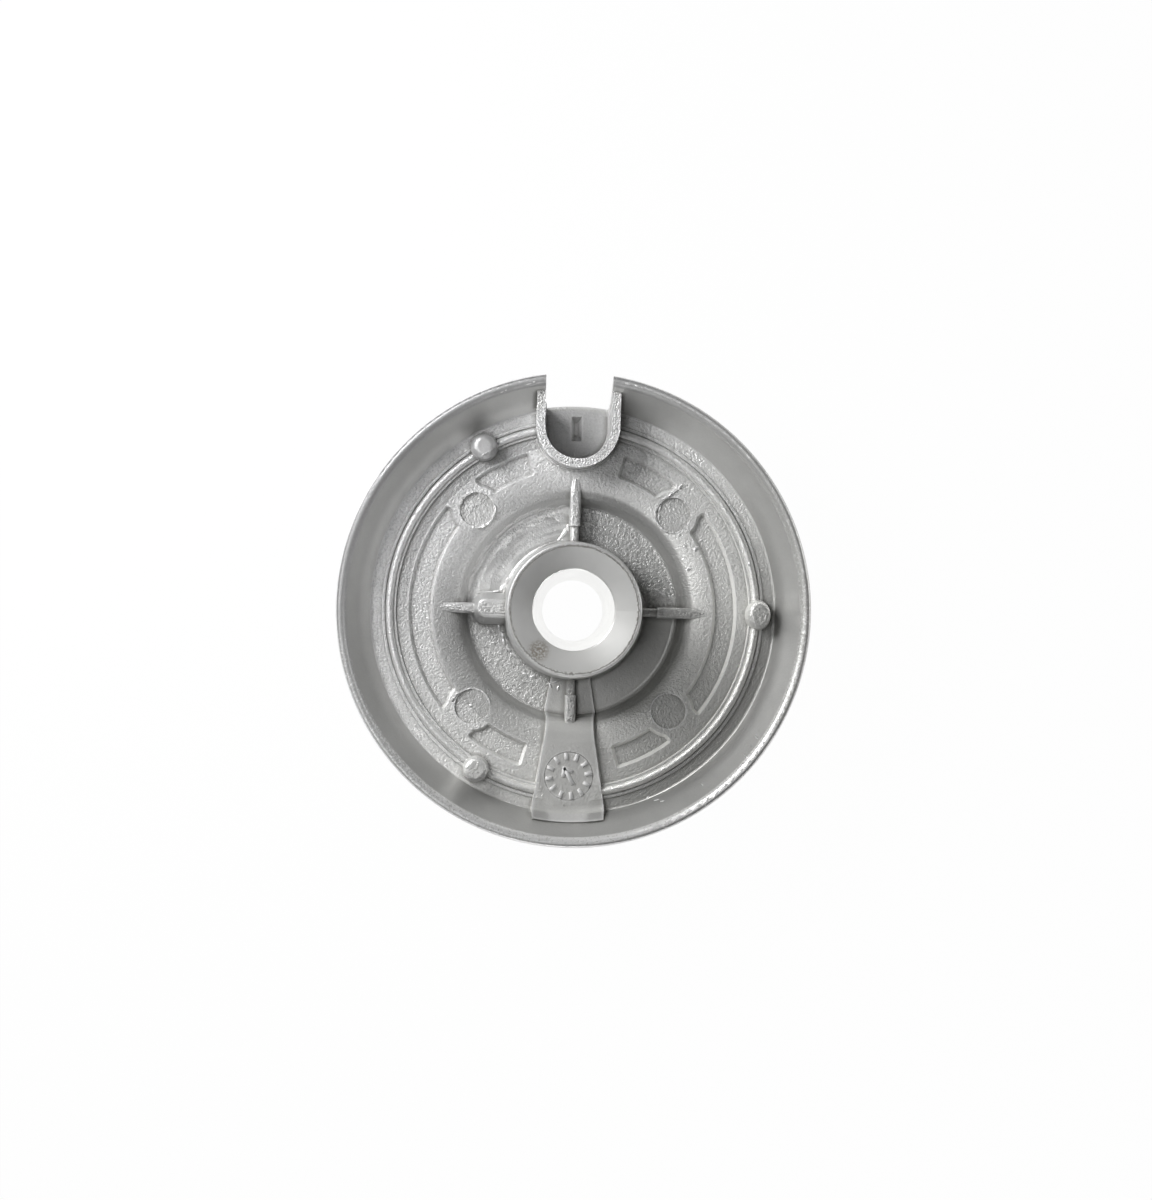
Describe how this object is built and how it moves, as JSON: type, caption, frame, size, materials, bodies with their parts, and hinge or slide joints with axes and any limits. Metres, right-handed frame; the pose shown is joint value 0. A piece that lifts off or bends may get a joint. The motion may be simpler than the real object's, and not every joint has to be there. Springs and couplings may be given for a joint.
{
  "type": "gas burner head",
  "caption": "Round die-cast burner head seen from its underside: flared skirt, tapered throat boss with ribs, feet, an electrode notch and a ring of flame ports.",
  "frame": {"origin": "on the throat axis, in the plane of the cap seat that the part rests on", "axes": "+Z along the throat axis out of the underside (it is turned over in use), +Y through the electrode notch"},
  "size_m": [0.095, 0.0945, 0.021],
  "materials": {
    "cast_aluminium": "as cast, satin, with granular floors and a machined throat cone"
  },
  "bodies": {
    "root": {"burner_head": "cast_aluminium"}
  },
  "joints": []
}
